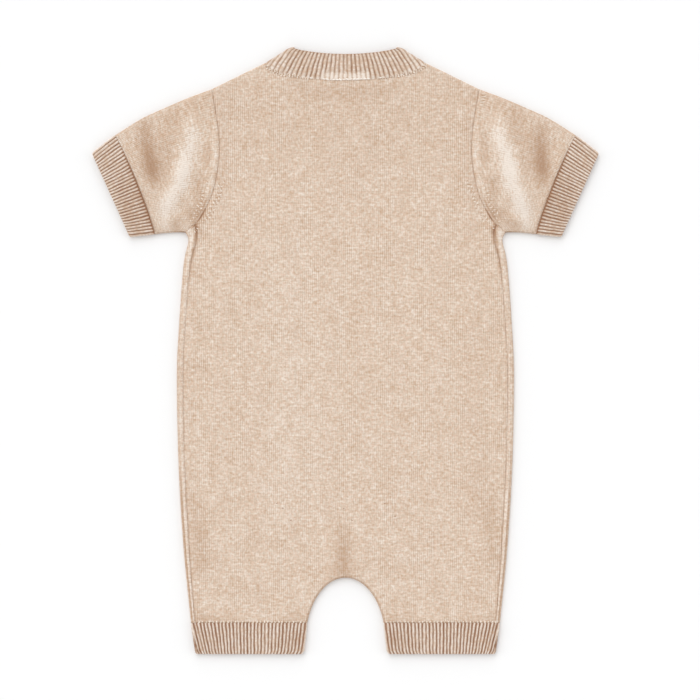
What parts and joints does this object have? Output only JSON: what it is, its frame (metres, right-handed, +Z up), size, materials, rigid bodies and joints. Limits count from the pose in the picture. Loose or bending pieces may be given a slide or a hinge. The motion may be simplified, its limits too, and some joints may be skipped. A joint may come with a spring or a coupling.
{
  "type": "baby romper",
  "caption": "Short-sleeved baby romper in fine cotton knit with ribbed neck and cuffs, laid flat with its back facing up.",
  "frame": {"origin": "middle of the area that the romper covers, on the surface that it lies on", "axes": "+X towards the wearer's right, +Y from the legs to the neck, +Z up, out of the back of the garment"},
  "size_m": [0.3884, 0.467, 0.0052],
  "materials": {
    "plain_knit": "heathered fine cotton knit, matt",
    "rib_knit": "heathered 1 by 1 rib cotton knit, matt"
  },
  "bodies": {
    "root": {"back_body": "plain_knit", "front_body": "plain_knit", "sleeve_left": "plain_knit", "sleeve_right": "plain_knit", "neck_band": "rib_knit", "sleeve_cuff_left": "rib_knit", "sleeve_cuff_right": "rib_knit", "leg_cuff_left": "rib_knit", "leg_cuff_right": "rib_knit"}
  },
  "joints": []
}
